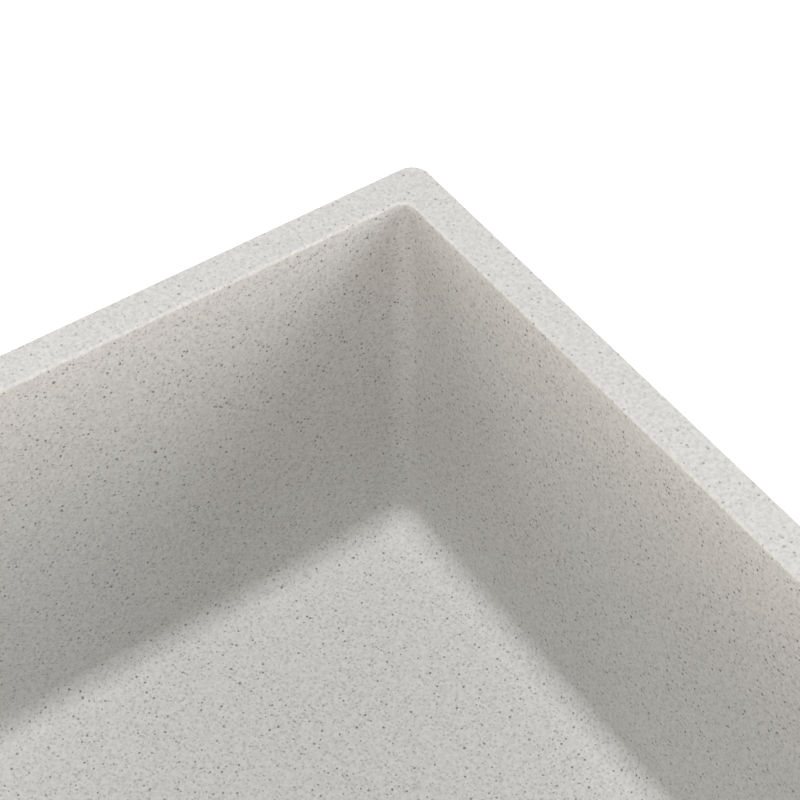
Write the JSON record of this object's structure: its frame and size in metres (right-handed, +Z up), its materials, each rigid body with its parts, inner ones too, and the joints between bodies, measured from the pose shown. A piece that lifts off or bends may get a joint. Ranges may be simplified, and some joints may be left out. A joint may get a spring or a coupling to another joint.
{
  "type": "undermount granite sink",
  "caption": "Rectangular single-bowl undermount kitchen sink in speckled cast granite composite, with a central basket strainer, tailpiece and swing-out rim clips.",
  "frame": {"origin": "centre of the rim's flat top face, which seals against the underside of the worktop; the bowl hangs below it", "axes": "+X to the right along the sink's length, +Y to the back, +Z up out of the rim's top face"},
  "size_m": [0.762, 0.457, 0.4095],
  "materials": {
    "granite": "satin",
    "brass": "satin",
    "zinc_plated_steel": "satin",
    "strap_steel": "satin",
    "stainless": "polished",
    "spring_steel": "satin",
    "zinc_casting": "matte",
    "chrome": "polished",
    "rubber": "matte",
    "fibre": "matte",
    "nylon": "satin"
  },
  "bodies": {
    "root": {"bowl": "granite", "rim_inserts": "brass", "clip_bolts": "zinc_plated_steel", "clip_washers": "zinc_plated_steel", "flange_gasket": "rubber", "strainer_body": "stainless", "body_gasket": "rubber", "friction_ring": "fibre", "locknut": "zinc_casting", "outlet_washer": "rubber", "tailpiece": "chrome", "coupling_nut": "chrome"},
    "basket": {"basket_cup": "stainless", "basket_bush": "nylon", "post_clip": "spring_steel"},
    "stopper_post": {"post": "stainless", "knob": "stainless", "stopper_washer": "stainless", "stopper": "rubber", "stopper_nut": "stainless"},
    "back_left_clip": {"clip_back_left": "strap_steel"},
    "back_mid_clip": {"clip_back_mid": "strap_steel"},
    "back_right_clip": {"clip_back_right": "strap_steel"},
    "front_left_clip": {"clip_front_left": "strap_steel"},
    "front_mid_clip": {"clip_front_mid": "strap_steel"},
    "front_right_clip": {"clip_front_right": "strap_steel"},
    "left_clip": {"clip_left": "strap_steel"},
    "right_clip": {"clip_right": "strap_steel"}
  },
  "joints": [
    {"name": "basket_lift", "type": "slide", "parent": "root", "child": "basket", "axis": [0, 0, 1], "range_m": [0, 0.31]},
    {"name": "stopper_pull", "type": "slide", "parent": "basket", "child": "stopper_post", "axis": [0, 0, 1], "range_m": [0, 0.008]},
    {"name": "back_left_swing", "type": "hinge", "parent": "root", "child": "back_left_clip", "pos_m": [-0.261, 0.2225, -0.0158], "axis": [0, 0, 1], "range_deg": [0, 90]},
    {"name": "back_mid_swing", "type": "hinge", "parent": "root", "child": "back_mid_clip", "pos_m": [-0.02, 0.2225, -0.0158], "axis": [0, 0, 1], "range_deg": [0, 90]},
    {"name": "back_right_swing", "type": "hinge", "parent": "root", "child": "back_right_clip", "pos_m": [0.261, 0.2225, -0.0158], "axis": [0, 0, -1], "range_deg": [0, 90]},
    {"name": "front_left_swing", "type": "hinge", "parent": "root", "child": "front_left_clip", "pos_m": [-0.261, -0.2225, -0.0158], "axis": [0, 0, -1], "range_deg": [0, 90]},
    {"name": "front_mid_swing", "type": "hinge", "parent": "root", "child": "front_mid_clip", "pos_m": [-0.02, -0.2225, -0.0158], "axis": [0, 0, -1], "range_deg": [0, 90]},
    {"name": "front_right_swing", "type": "hinge", "parent": "root", "child": "front_right_clip", "pos_m": [0.261, -0.2225, -0.0158], "axis": [0, 0, 1], "range_deg": [0, 90]},
    {"name": "left_swing", "type": "hinge", "parent": "root", "child": "left_clip", "pos_m": [-0.375, -0.02, -0.0158], "axis": [0, 0, 1], "range_deg": [0, 90]},
    {"name": "right_swing", "type": "hinge", "parent": "root", "child": "right_clip", "pos_m": [0.375, -0.02, -0.0158], "axis": [0, 0, -1], "range_deg": [0, 90]}
  ]
}
